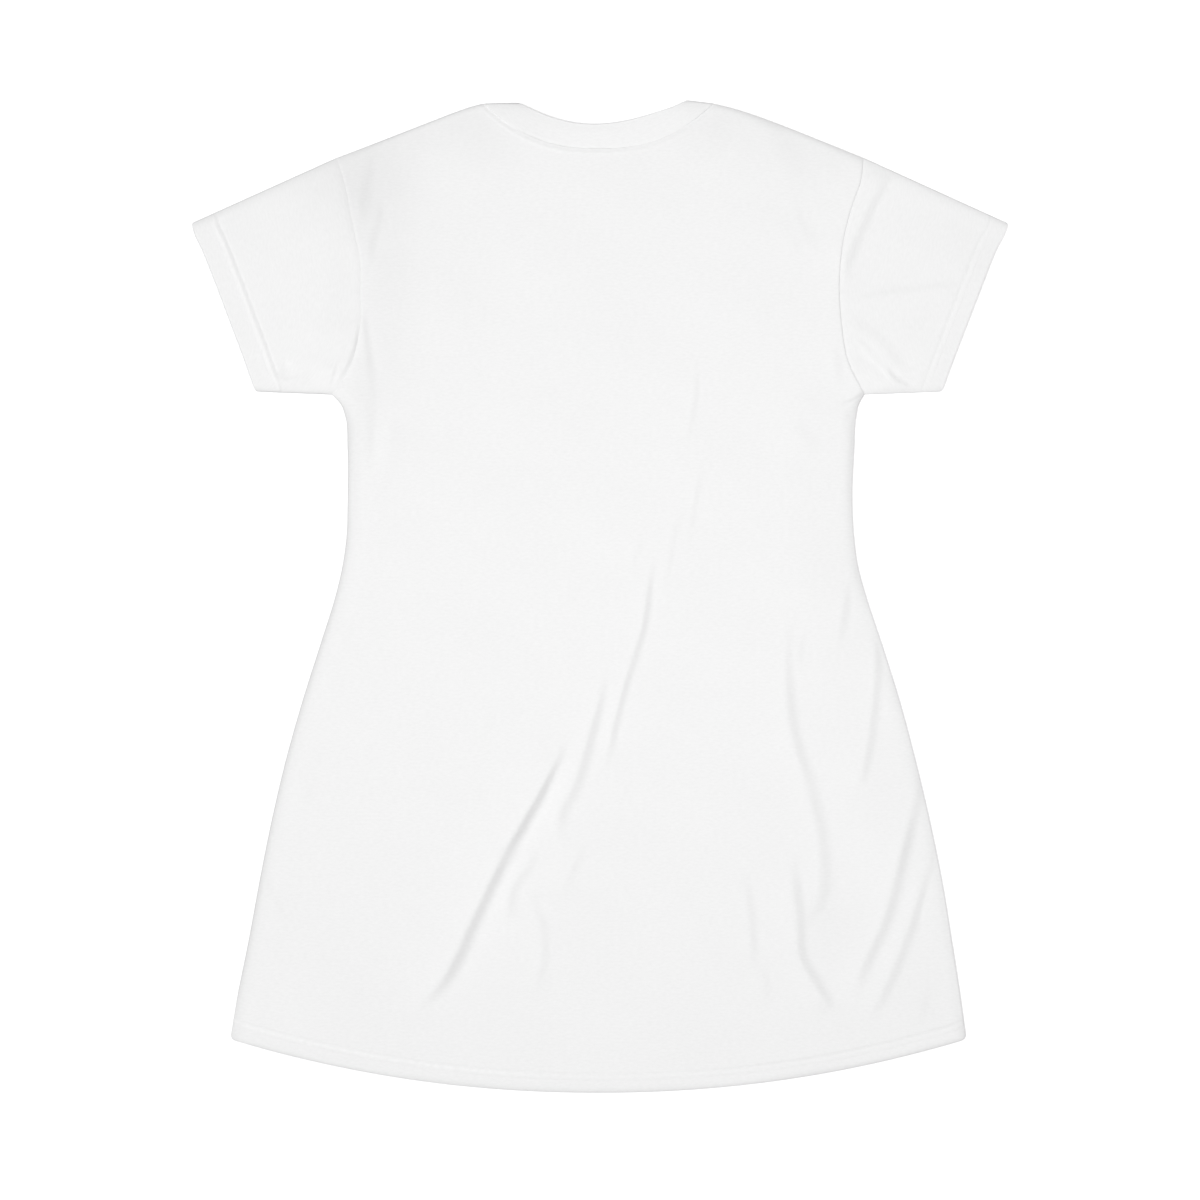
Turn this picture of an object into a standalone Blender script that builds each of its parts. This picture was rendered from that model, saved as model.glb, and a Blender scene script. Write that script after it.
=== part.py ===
"""A t-shirt dress laid flat with its back up: two panels, two set-in sleeves and a neck band.

Sizes are in metres. A place on the cloth is given by x, from the dress's middle line to the right, and
by down, from the neck point of the shoulder towards the hem. The neck ends up towards +Y, the floor is
z = 0, and the front panel lies on it under the back panel.
"""

import math
from collections import namedtuple

import bmesh
import bpy

# Thicknesses, and heights above the floor
WALL = 0.0012  # jersey with its loft
HEM_WALL = 0.0015  # the turned-up hem, two layers pressed together
STACK = 0.0034  # top of the back panel where it lies flattest
SEAM_GAP = 0.0003
ARMHOLE_GAP = 0.0004  # measured across the dress; the armhole slants, so it is the seam gap there
BAND_STACK = 0.0038
BAND_WALL = 0.0018  # the neck band is jersey folded double

# Hem and neck
HEM_DEPTH = 0.019
HEM_DROP = 0.0459  # how much lower the hem is in the middle than at its corners
HEM_POWER = 2.1  # the hem's curve, where 2 is a parabola
NECK_SHIFT = -0.002  # the neck lies a little left of the middle line
NECK_HALF = 0.0996
BACK_NECK_DEPTH = 0.0395
FRONT_NECK_DEPTH = 0.105
NECK_ROUNDNESS = 1.8
SHOULDER_CROWN = (0.002, 0.004)  # how far the left and right shoulder lines stand above straight ones
BAND_HALF = 0.074
BACK_BAND_DEPTH = 0.0192
FRONT_BAND_DEPTH = 0.0845

# Sleeves
CUFF_TOP_X = 0.363
CUFF_TOP_DOWN = 0.1060
CUFF_LOW_X = 0.306
CUFF_LOW_DOWN = 0.257
FRONT_SCOOP = 0.006  # the front armhole is cut this much further in

# The body's side, a row for each section: the armhole down to the underarm, then the side seam.
Section = namedtuple("Section", "down left right")
ARMHOLE = (
    Section(0.0483, 0.2347, 0.2347),
    Section(0.0704, 0.2276, 0.2321),
    Section(0.0917, 0.2231, 0.2246),
    Section(0.1140, 0.2187, 0.2186),
    Section(0.1400, 0.2136, 0.2146),
    Section(0.1700, 0.2133, 0.2136),
    Section(0.1977, 0.2135, 0.2156),
    Section(0.2173, 0.2169, 0.2182),
    Section(0.2343, 0.2222, 0.2231),
    Section(0.2467, 0.2290, 0.2292),
    Section(0.2547, 0.2340, 0.2334),
    Section(0.2592, 0.2392, 0.2356),
)
SIDE = (
    Section(0.2663, 0.2302, 0.2314),
    Section(0.2806, 0.2252, 0.2281),
    Section(0.3046, 0.2249, 0.2267),
    Section(0.3536, 0.2249, 0.2249),
    Section(0.3848, 0.2258, 0.2267),
    Section(0.4115, 0.2294, 0.2302),
    Section(0.4382, 0.2356, 0.2374),
    Section(0.4783, 0.2481, 0.2507),
    Section(0.5317, 0.2650, 0.2677),
    Section(0.5852, 0.2801, 0.2819),
    Section(0.6386, 0.2926, 0.2944),
    Section(0.6921, 0.3033, 0.3051),
    Section(0.7455, 0.3131, 0.3140),
    Section(0.7990, 0.3238, 0.3220),
    Section(0.8257, 0.3282, 0.3256),
    Section(0.8350, 0.3262, 0.3240),
)
BODY = ARMHOLE + SIDE
TIP = ARMHOLE[0].down
UNDERARM = ARMHOLE[-1].down
CORNER = SIDE[-1].down

# The back's largest folds, each a soft ridge from one place to another; bow is how far its middle
# stands off to the right of the straight line.
Fold = namedtuple("Fold", "x down to_x to_down bow width height")
FOLDS = (
    Fold(-0.030, 0.560, -0.166, 0.800, 0.002, 0.018, 0.0042),
    Fold(0.044, 0.420, 0.004, 0.590, 0.000, 0.016, 0.0026),
    Fold(0.000, 0.520, -0.040, 0.650, 0.003, 0.016, 0.0030),
    Fold(0.164, 0.460, 0.190, 0.730, 0.012, 0.018, 0.0028),
    Fold(0.168, 0.670, 0.206, 0.800, -0.008, 0.016, 0.0026),
    Fold(0.276, 0.615, 0.220, 0.795, -0.004, 0.016, 0.0036),
    Fold(0.292, 0.675, 0.238, 0.805, -0.003, 0.014, 0.0028),
)
AIR = 0.0008  # how much the back stands off over the whole dress
FLAT_EDGE = 0.045  # the width at every edge over which the folds die out

# How finely the pieces are divided
EDGE_TURN = (0.0, 40.0, 90.0)  # degrees round a folded or seamed edge, from its side to its top
NECK_ANGLES = (0, 4, 14, 28, 44, 60, 75, 90, 105, 120, 136, 152, 166, 176, 180)
SHOULDER_PARTS = 5
STEP = 0.022  # the most between two of the body's sections
BLEND_TO_EVEN = 0.32  # below this the columns are evenly spaced, and the neck's shape has faded
SLEEVE_PARTS = (0.0, 0.25, 0.5, 0.75, 1.0)  # of the way from the armhole to the hem's start
HEM_PARTS = 12  # straight stretches in the hem's outline
BAND_TURNS = (60.0, 20.0, -20.0, -60.0)  # degrees round the band's fold at a shoulder, from the back
BAND_EDGE = 0.0006  # how far the band's free edge is rounded
SHARP_ANGLE = 40.0  # degrees between two faces, above which their edge is drawn sharp

# The two layers; sign is 1 above the middle height and -1 below, and band_power shapes the band's edge:
# the higher it is, the later the edge leaves the shoulder.
Layer = namedtuple("Layer", "name sign scoop neck_depth band_depth band_power")
BACK = Layer("back_panel", 1, 0.0, BACK_NECK_DEPTH, BACK_BAND_DEPTH, 3.0)
FRONT = Layer("front_panel", -1, FRONT_SCOOP, FRONT_NECK_DEPTH, FRONT_BAND_DEPTH, 1.2)

MIDDLE = STACK / 2
TURN = STACK / 2  # radius of the rounded edges


def clear_scene():
    for obj in list(bpy.data.objects):
        bpy.data.objects.remove(obj)


def smooth(t):
    t = min(1.0, max(0.0, t))
    return t * t * (3 - 2 * t)


def mix(a, b, t):
    return a + (b - a) * t


def side_at(down, hand):
    """The body's half width at a place down its side; hand is -1 on the left and 1 on the right."""
    column = 1 if hand < 0 else 2
    for above, below in zip(BODY, BODY[1:]):
        if down <= below.down:
            share = (down - above.down) / (below.down - above.down)
            return mix(above[column], below[column], max(0.0, share))
    return BODY[-1][column]


def scoop_at(down, layer):
    """How much further in this layer's armhole is cut than the table's."""
    if down >= UNDERARM:
        return 0.0
    return layer.scoop * math.sin(math.pi * (down - TIP) / (UNDERARM - TIP))


def neck_seam(angle, depth, gap=0.0):
    """A point of the seam between a panel and the band, from the left shoulder round to the right."""
    power = 2 / NECK_ROUNDNESS
    c = math.cos(math.radians(angle))
    s = max(0.0, math.sin(math.radians(angle)))
    x = -math.copysign(abs(c) ** power, c) * (NECK_HALF - gap)
    return NECK_SHIFT + x, s**power * (depth - gap)


def band_edge(angle, layer):
    """A point of the band's free edge, which leaves the shoulder level and dips to its middle."""
    s = max(0.0, math.sin(math.radians(angle)))
    return NECK_SHIFT - math.cos(math.radians(angle)) * BAND_HALF, layer.band_depth * s**layer.band_power


def outline():
    """The whole dress's outline, clockwise from the left of the neck."""
    neck = [band_edge(a, BACK) for a in NECK_ANGLES]
    right = [(s.right, s.down) for s in SIDE]
    left = [(-s.left, s.down) for s in reversed(SIDE)]
    hem = [hem_point(k / HEM_PARTS) for k in range(1, HEM_PARTS)]
    right_cuff = [(CUFF_TOP_X, CUFF_TOP_DOWN), (CUFF_LOW_X, CUFF_LOW_DOWN)]
    left_cuff = [(-x, down) for x, down in reversed(right_cuff)]
    return neck + [(NECK_HALF, 0.0)] + right_cuff + right + hem + left + left_cuff + [(-NECK_HALF, 0.0)]


def hem_drop(share):
    """How much lower the hem is than its corners, at a share of its width."""
    return HEM_DROP * (1 - abs(2 * share - 1) ** HEM_POWER)


def hem_point(share):
    """A point of the hem, from its right corner to its left."""
    corner = SIDE[-1]
    return mix(corner.right, -corner.left, share), CORNER + hem_drop(share)


def distance_to(line, x, down):
    """How far a place is from a closed line."""
    nearest = math.inf
    for (ax, ad), (bx, bd) in zip(line, line[1:] + line[:1]):
        length = (bx - ax) ** 2 + (bd - ad) ** 2
        t = ((x - ax) * (bx - ax) + (down - ad) * (bd - ad)) / length
        t = min(1.0, max(0.0, t))
        nearest = min(nearest, math.hypot(x - mix(ax, bx, t), down - mix(ad, bd, t)))
    return nearest


def fold_height(fold, x, down):
    """How much a fold lifts the cloth at a place."""
    dx, dd = fold.to_x - fold.x, fold.to_down - fold.down
    length = math.hypot(dx, dd)
    t = ((x - fold.x) * dx + (down - fold.down) * dd) / length**2
    if not 0 < t < 1:
        return 0.0
    off = ((x - fold.x) * dd - (down - fold.down) * dx) / length - fold.bow * math.sin(math.pi * t)
    return fold.height * math.sin(math.pi * t) * math.exp(-((off / fold.width) ** 2))


def relief(x, down, edge):
    """The height of the back's folds above its flattest level."""
    total = AIR + sum(fold_height(fold, x, down) for fold in FOLDS)
    return total * smooth(distance_to(edge, x, down) / FLAT_EDGE)


def point(x, down, z):
    return (x, -down, z)


def wall_point(layer, x, down, across, thick, outer, edge):
    """A point of a layer's outer or inner face; across is 0 at a seam or fold and 1 where it lies flat."""
    radius = TURN if outer else TURN - thick
    lift = max(radius * across, SEAM_GAP / 2)
    if layer.sign > 0:
        lift += relief(x, down, edge)
    return point(x, down, MIDDLE + layer.sign * lift)


def inset(turn, thick, outer):
    """How far in from a rounded edge a face's point lies, at an angle round that edge."""
    radius = TURN if outer else TURN - thick
    return TURN - radius * math.cos(math.radians(turn))


def shoulder_line(share, hand):
    """How far down the shoulder lies, from its tip to the neck point."""
    crown = SHOULDER_CROWN[0] if hand < 0 else SHOULDER_CROWN[1]
    return mix(TIP, 0.0, share) - crown * math.sin(math.pi * share)


def top_columns(layer):
    """Where the panel's columns start along its top edge: (x, down, is it on the shoulder)."""
    neck = [(*neck_seam(a, layer.neck_depth), a in (0, 180)) for a in NECK_ANGLES]
    tip_x = side_at(TIP, -1) - TURN
    parts = [k / SHOULDER_PARTS for k in range(SHOULDER_PARTS)]
    left = [(mix(-tip_x, neck[0][0], t), shoulder_line(t, -1), True) for t in parts]
    right = [(mix(tip_x, neck[-1][0], t), shoulder_line(t, 1), True) for t in reversed(parts)]
    return left + neck + right


def panel_levels():
    """Each section's level down the side: (down, angle round the shoulder, wall, is its side a seam)."""
    turns = [(TIP + inset(turn, WALL, True), turn, WALL, False) for turn in EDGE_TURN]
    armhole = [(s.down, 90.0, WALL, s.down == UNDERARM) for s in ARMHOLE[1:]]
    hem_line = CORNER - HEM_DEPTH
    above_hem = [s.down for s in SIDE if s.down < hem_line] + [hem_line - SEAM_GAP]
    skirt = []
    for start, end in zip([UNDERARM] + above_hem, above_hem):
        count = math.ceil((end - start) / STEP)
        skirt += [(mix(start, end, k / count), 90.0, WALL, True) for k in range(1, count + 1)]
    hem = [hem_line] + [s.down for s in SIDE if s.down > hem_line]
    return turns + armhole + skirt + [(down, 90.0, HEM_WALL, True) for down in hem]


def slid(x, left, right, columns):
    """Where a column that starts at x comes lower down: the neck's go straight down, the shoulders' follow."""
    neck_left, neck_right = columns[SHOULDER_PARTS][0], columns[-1 - SHOULDER_PARTS][0]
    if x < neck_left:
        return mix(left, neck_left, (x - columns[0][0]) / (neck_left - columns[0][0]))
    if x > neck_right:
        return mix(neck_right, right, (x - neck_right) / (columns[-1][0] - neck_right))
    return x


def panel_face(layer, level, columns, outer, edge):
    """One face of one section, from the left edge to the right."""
    down, turn, thick, seamed = level
    left = -side_at(down, -1) + scoop_at(down, layer)
    right = side_at(down, 1) - scoop_at(down, layer)
    even = smooth((down - TIP) / (BLEND_TO_EVEN - TIP))
    fade_hem = smooth((down - BLEND_TO_EVEN) / (CORNER - BLEND_TO_EVEN))
    insets = [(inset(side_turn, thick, outer or not seamed), side_turn) for side_turn in EDGE_TURN[:-1]]
    places = [(left + depth, 0.0, side_turn, True) for depth, side_turn in insets]
    for k, (top_x, top_down, shoulder) in enumerate(columns):
        x = slid(top_x, left + TURN, right - TURN, columns)
        even_x = mix(left + TURN, right - TURN, k / (len(columns) - 1))
        places.append((mix(x, even_x, even), top_down - TIP, 90.0, shoulder))
    places += [(right - depth, 0.0, side_turn, True) for depth, side_turn in reversed(insets)]
    points = []
    for x, rise, side_turn, shoulder in places:
        share = (x - left) / (right - left)
        turned = turn if shoulder else 90.0
        across = math.sin(math.radians(turned))
        if seamed:
            across = min(across, math.sin(math.radians(side_turn)))
        here = down + rise * (1 - even) + hem_drop(share) * fade_hem
        here += inset(turned, thick, outer) - inset(turned, thick, True)
        points.append(wall_point(layer, x, here, across, thick, outer, edge))
    return points


def panel(layer, edge, material):
    """The front or the back: sections from the shoulders to the hem, each with both of its faces."""
    columns = top_columns(layer)
    rings = []
    for level in panel_levels():
        outer = panel_face(layer, level, columns, True, edge)
        inner = panel_face(layer, level, columns, False, edge)
        rings.append(outer + inner[::-1])
    return skin(layer.name, rings, material, closed=False)


def armhole_places():
    """Places down the armhole for the sleeve's ring: (down, angle round the edge)."""
    places = [(TIP + inset(turn, WALL, True), turn) for turn in EDGE_TURN]
    places += [(s.down, 90.0) for s in ARMHOLE[1:-1]]
    return places + [(UNDERARM - inset(turn, WALL, True), turn) for turn in reversed(EDGE_TURN)]


def sleeve_face(hand, layer, part, at_cuff, outer, edge):
    """One layer's points from the sleeve's top fold to its underarm, at a part of the way to the hem."""
    thick = HEM_WALL if at_cuff else WALL
    points = []
    for down, turn in armhole_places():
        share = (down - TIP) / (UNDERARM - TIP)
        x = side_at(down, hand) - scoop_at(down, layer) + ARMHOLE_GAP
        cuff_x, cuff_down = mix(CUFF_TOP_X, CUFF_LOW_X, share), mix(CUFF_TOP_DOWN, CUFF_LOW_DOWN, share)
        length = math.hypot(cuff_x - x, cuff_down - down)
        along = 1.0 if at_cuff else part * (1 - HEM_DEPTH / length)
        here_x, here = mix(x, cuff_x, along), mix(down, cuff_down, along)
        if turn < 90.0 and not outer:
            shift = inset(turn, thick, False) - inset(turn, thick, True)
            here += shift if share < 0.5 else -shift
        across = math.sin(math.radians(turn))
        radius = TURN if outer else TURN - thick
        lift = radius * across
        if layer.sign > 0:
            lift += relief(hand * here_x, here, edge)
        points.append(point(hand * here_x, here, MIDDLE + layer.sign * lift))
    return points


def sleeve(name, hand, edge, material):
    """A flattened tube from the armhole to the cuff: rings of its outside, then of its inside back again."""
    rings = []
    stations = [(part, False) for part in SLEEVE_PARTS] + [(1.0, True)]
    for outer, order in ((True, stations), (False, stations[::-1])):
        for part, at_cuff in order:
            back = sleeve_face(hand, BACK, part, at_cuff, outer, edge)
            front = sleeve_face(hand, FRONT, part, at_cuff, outer, edge)
            rings.append(back + front[-2:0:-1])
    return skin(name, rings, material, closed=True)


def band_section(seam_x, seam_down, free_x, free_down, turn):
    """Five points round a cut across the band; turn is 90 on the back, 0 at the fold and -90 in front."""
    up, out = math.sin(math.radians(turn)), math.cos(math.radians(turn))
    core = (BAND_STACK - BAND_WALL) / 2
    length = math.hypot(free_x - seam_x, free_down - seam_down)
    near = 1 - BAND_EDGE / length
    half = BAND_WALL / 2
    points = []
    for share, off in ((0.0, -half), (0.0, half), (near, half), (1.0, 0.0), (near, -half)):
        x, down = mix(seam_x, free_x, share), mix(seam_down, free_down, share)
        reach = core + off
        points.append(point(x, down - out * reach, BAND_STACK / 2 + up * reach))
    return points


def neck_band(material):
    """The ring: the back half, over the right shoulder, the front half and over the left shoulder."""
    gap = SEAM_GAP
    axis = BAND_STACK / 2
    rings = []
    for layer, angles in ((BACK, NECK_ANGLES[1:-1]), (FRONT, NECK_ANGLES[-2:0:-1])):
        for angle in angles:
            seam = neck_seam(angle, layer.neck_depth, gap)
            free = band_edge(angle, layer)
            turn = 90.0 * layer.sign
            rings.append(band_section(seam[0], max(seam[1], axis), free[0], max(free[1], axis), turn))
        hand = layer.sign
        seam_x = neck_seam(NECK_ANGLES[-2 if hand > 0 else 1], BACK_NECK_DEPTH, gap)[0]
        free_x = NECK_SHIFT + hand * BAND_HALF
        for turn in BAND_TURNS:
            rings.append(band_section(seam_x, axis, free_x, axis, hand * turn))
    return skin("neck_band", rings, material, closed=True)


def skin(name, rings, material, closed):
    """A closed solid through rings of points; the first and last are joined, or capped across the wall."""
    count = len(rings[0])
    faces = []
    last = len(rings) if closed else len(rings) - 1
    for i in range(last):
        j = (i + 1) % len(rings)
        for k in range(count):
            n = (k + 1) % count
            faces.append((i * count + k, i * count + n, j * count + n, j * count + k))
    if not closed:
        for start, flip in ((0, True), ((len(rings) - 1) * count, False)):
            for k in range(count // 2 - 1):
                ladder = (start + k, start + k + 1, start + count - 2 - k, start + count - 1 - k)
                faces.append(ladder[::-1] if flip else ladder)
    mesh = bpy.data.meshes.new(name)
    mesh.from_pydata([p for ring in rings for p in ring], [], faces)
    shape = bmesh.new()
    shape.from_mesh(mesh)
    bmesh.ops.recalc_face_normals(shape, faces=shape.faces)
    shape.to_mesh(mesh)
    shape.free()
    mesh.materials.append(material)
    mesh.shade_smooth()
    mesh.set_sharp_from_angle(angle=math.radians(SHARP_ANGLE))
    obj = bpy.data.objects.new(name, mesh)
    bpy.context.scene.collection.objects.link(obj)
    return obj


def jersey(name, color, roughness):
    material = bpy.data.materials.new(name)
    material.use_nodes = True
    shader = material.node_tree.nodes["Principled BSDF"]
    shader.inputs["Base Color"].default_value = (*color, 1.0)
    shader.inputs["Roughness"].default_value = roughness
    shader.inputs["Metallic"].default_value = 0.0
    return material


def centre_on_floor(objects):
    """Moves the dress so that the middle of its outline is at the origin."""
    points = [v.co for obj in objects for v in obj.data.vertices]
    mid_x = (min(p.x for p in points) + max(p.x for p in points)) / 2
    mid_y = (min(p.y for p in points) + max(p.y for p in points)) / 2
    for obj in objects:
        for vertex in obj.data.vertices:
            vertex.co.x -= mid_x
            vertex.co.y -= mid_y


def build():
    clear_scene()
    white = jersey("white_jersey", (0.87, 0.87, 0.87), 0.9)
    band_white = jersey("white_band", (0.88, 0.88, 0.88), 0.88)
    edge = outline()
    objects = [
        panel(FRONT, edge, white),
        panel(BACK, edge, white),
        sleeve("sleeve_left", -1, edge, white),
        sleeve("sleeve_right", 1, edge, white),
        neck_band(band_white),
    ]
    centre_on_floor(objects)


build()
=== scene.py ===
import math
from collections import namedtuple

import bpy
import numpy as np
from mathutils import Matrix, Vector


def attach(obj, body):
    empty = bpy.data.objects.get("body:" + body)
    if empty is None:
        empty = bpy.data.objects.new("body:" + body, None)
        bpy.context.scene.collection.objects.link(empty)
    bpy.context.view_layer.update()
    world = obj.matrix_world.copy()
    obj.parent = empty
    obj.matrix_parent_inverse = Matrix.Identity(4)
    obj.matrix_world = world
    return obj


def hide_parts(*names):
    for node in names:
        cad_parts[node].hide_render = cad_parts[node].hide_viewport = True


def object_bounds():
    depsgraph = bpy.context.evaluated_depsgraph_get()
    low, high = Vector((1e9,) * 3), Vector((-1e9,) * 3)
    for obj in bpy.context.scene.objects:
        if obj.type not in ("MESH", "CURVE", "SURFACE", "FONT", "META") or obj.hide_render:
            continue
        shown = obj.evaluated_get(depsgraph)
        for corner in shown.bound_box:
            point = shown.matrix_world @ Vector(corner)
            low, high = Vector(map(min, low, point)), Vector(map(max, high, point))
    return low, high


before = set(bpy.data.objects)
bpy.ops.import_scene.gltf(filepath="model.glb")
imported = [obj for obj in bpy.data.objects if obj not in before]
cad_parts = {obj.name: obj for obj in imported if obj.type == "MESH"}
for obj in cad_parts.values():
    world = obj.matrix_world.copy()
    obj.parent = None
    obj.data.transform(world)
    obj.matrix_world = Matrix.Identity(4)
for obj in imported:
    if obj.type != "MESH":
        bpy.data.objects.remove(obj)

# A t-shirt dress laid flat with its back up. Everything is in metres, apart from the tables in millimetres
# that metres() turns into them. A place on the cloth is given by x, from the dress's middle line to the
# right, and by down, from the neck point of the shoulder to the hem.

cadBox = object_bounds()
topY = cadBox[1][1]  # where down is 0
print("frame loaded")


def mix(a, b, t):
    return a + (b - a) * t


def metres(millimetres):
    return np.array(millimetres) / 1000


def smooth(t):
    t = np.clip(t, 0.0, 1.0)
    return t * t * (3 - 2 * t)


def ramp(x, start, end):  # 0 up to the start, and smoothly to 1 at the end
    return smooth((x - start) / (end - start))


def rounded(distance, reach):  # 0 at an edge and 1 from reach inwards, a quarter of an ellipse
    t = np.clip(1 - distance / reach, 0.0, 1.0)
    return np.sqrt(1 - t * t)


def bell(distance, width):
    return np.exp(-((distance / width) ** 2))


def curveThrough(at, xs, ys):  # a smooth curve through a table's rows
    xs, ys, at = (np.asarray(values, float) for values in (xs, ys, at))
    slope = np.gradient(ys, xs)
    k = np.clip(np.searchsorted(xs, at) - 1, 0, len(xs) - 2)
    step = xs[k + 1] - xs[k]
    t = np.clip((at - xs[k]) / step, 0.0, 1.0)
    bend = step * (slope[k] * t * (1 - t) ** 2 - slope[k + 1] * t * t * (1 - t))
    return mix(ys[k], ys[k + 1], smooth(t)) + bend


def distanceTo(x, down, line):  # from each place to the nearest point of a line
    nearest = np.full(np.shape(x), np.inf)
    for (ax, ad), (bx, bd) in zip(line[:-1], line[1:]):
        ex, ed = bx - ax, bd - ad
        length = ex * ex + ed * ed
        if length == 0:
            continue
        t = np.clip(((x - ax) * ex + (down - ad) * ed) / length, 0.0, 1.0)
        nearest = np.minimum(nearest, (x - ax - t * ex) ** 2 + (down - ad - t * ed) ** 2)
    return np.sqrt(nearest)


def spread(start, end, step):
    return np.linspace(start, end, max(2, math.ceil(abs(end - start) / step) + 1))


def addObject(name, data):
    obj = bpy.data.objects.new(name, data)
    bpy.context.scene.collection.objects.link(obj)
    return obj


def cornerCuts(toSide, toEnd, reach):
    # how far a place near a corner moves in from the side and back from the end, to round the corner off
    u, v = np.clip(1 - toSide / reach, 0, 1), np.clip(1 - toEnd / reach, 0, 1)
    return reach * u * (1 - np.sqrt(1 - v * v / 2)), reach * v * (1 - np.sqrt(1 - u * u / 2))


def gridMesh(name, points, grain, shade=0.0, closeRows=False, closeColumns=False, flip=False):
    # points is rows x columns x 3; grain gives each point's place on the flat cloth, for the knit
    rows, columns = points.shape[:2]
    faces, spots = [], []
    for i in range(rows - 1 + closeRows):
        for j in range(columns - 1 + closeColumns):
            corners = [(i, j), (i, j + 1), (i + 1, j + 1), (i + 1, j)]
            if flip:
                corners.reverse()
            faces.append([(a % rows) * columns + b % columns for a, b in corners])
            spots += corners
    mesh = bpy.data.meshes.new(name)
    mesh.from_pydata(points.reshape(-1, 3).tolist(), [], faces)
    spots = np.array(spots)
    layer = mesh.uv_layers.new(name="grain")
    layer.data.foreach_set("uv", grain[spots[:, 0], spots[:, 1]].astype(np.float32).ravel())
    # shade is painted shade that darkens the colour, and painted light where it is below 0
    marks = mesh.attributes.new("shade", "FLOAT", "POINT")
    marks.data.foreach_set("value", np.full((rows, columns), shade, np.float32).ravel())
    mesh.shade_smooth()
    sides = np.zeros(len(mesh.loops), dtype=np.int32)
    mesh.loops.foreach_get("edge_index", sides)
    rims = mesh.attributes.new("sharp_edge", "BOOLEAN", "EDGE")  # a cut edge keeps the cloth's own shading
    rims.data.foreach_set("value", np.bincount(sides, minlength=len(mesh.edges)) == 1)
    return addObject(name, mesh)


def onGround(x, down, z):
    return np.stack([x, topY - down, z], axis=-1)


def fill(node, inputs):  # by name or place, with a value or with the output of another node
    for key, value in dict(inputs).items():
        if isinstance(value, bpy.types.NodeSocket):
            node.id_data.links.new(value, node.inputs[key])
        else:
            node.inputs[key].default_value = value


def addNode(tree, kind, inputs=(), **settings):
    if "Node" not in kind:  # the tree's own kind, ShaderNode or GeometryNode
        kind = tree.bl_idname.removesuffix("Tree") + kind
    node = tree.nodes.new(kind)
    for key, value in settings.items():
        setattr(node, key, value)
    fill(node, inputs)
    return node


def newMaterial(name, look):
    material = bpy.data.materials.new(name)
    material.use_nodes = True
    shader = material.node_tree.nodes["Principled BSDF"]
    fill(shader, {"Base Color": (*look["colour"], 1), "Roughness": look["roughness"]})
    return material, shader


# The stage: a pale floor, soft studio light and a camera straight above

studio = {
    "camera height": 3.2,
    "camera centre": (0.0, -0.0018),
    "sensor": 36.0,  # millimetres
    "frame width": 1.0698,
    "key light": 1.09,  # watts a square metre, from a large softbox far to the lower left
    "key light from": (-0.55, -0.32, 0.77),
    "key light spread": 30.0,  # degrees
    "top light": 22.0,  # watts
    "top light from": (0.0, 0.105, 2.0),
    "top light size": 1.6,
    "room light": 0.41,
    "room stops": ((0.45, 0.0), (0.49, 0.35), (1.0, 1.0)),  # its share at heights from 0, below, to 1, above
    "floor": {"colour": (0.94, 0.94, 0.94), "roughness": 0.95},
    "floor size": 12.0,
    "floor gap": 0.0003,  # below the dress
    "floor glow": 0.36,
}


def addLight(name, kind, place, **settings):
    data = bpy.data.lights.new(name, kind)
    for key, value in settings.items():
        setattr(data, key, value)
    lamp = addObject(name, data)
    lamp.location = place
    lamp.rotation_euler = (-Vector(place)).to_track_quat("-Z", "Y").to_euler()


def buildRoom():
    world = bpy.data.worlds.new("room")
    world.use_nodes = True
    tree = world.node_tree
    place = addNode(tree, "TexCoord")
    split = addNode(tree, "SeparateXYZ", {0: place.outputs["Generated"]})
    height = addNode(tree, "MapRange", {"Value": split.outputs["Z"], "From Min": -1.0})
    light = addNode(tree, "ValToRGB", {"Fac": height.outputs["Result"]})
    stops = light.color_ramp.elements
    stops.new(0.5)
    for stop, (position, share) in zip(stops, studio["room stops"]):
        stop.position, stop.color = position, (share, share, share, 1)
    fill(tree.nodes["Background"], {"Color": light.outputs["Color"], "Strength": studio["room light"]})
    bpy.context.scene.world = world


def buildStage():
    data = bpy.data.cameras.new("camera")
    data.sensor_width = studio["sensor"]
    data.lens = studio["sensor"] * studio["camera height"] / studio["frame width"]
    camera = addObject("camera", data)
    camera.location = (*studio["camera centre"], studio["camera height"])
    bpy.context.scene.camera = camera

    addLight("keyLight", "SUN", studio["key light from"], energy=studio["key light"],
             angle=math.radians(studio["key light spread"]))
    addLight("topLight", "AREA", studio["top light from"], energy=studio["top light"],
             shape="DISK", size=studio["top light size"])
    buildRoom()
    bpy.context.scene.view_settings.view_transform = "Standard"

    bpy.ops.mesh.primitive_plane_add(size=studio["floor size"], location=(0, 0, -studio["floor gap"]))
    floor = bpy.context.object
    floor.name = "floor"
    paint, shader = newMaterial("paleFloor", studio["floor"])
    fill(shader, {"Emission Color": (1, 1, 1, 1), "Emission Strength": studio["floor glow"]})
    floor.data.materials.append(paint)
    floor.visible_diffuse = False  # it throws no light up under the dress


buildStage()
print("stage ready")


# The cut of the dress

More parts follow.
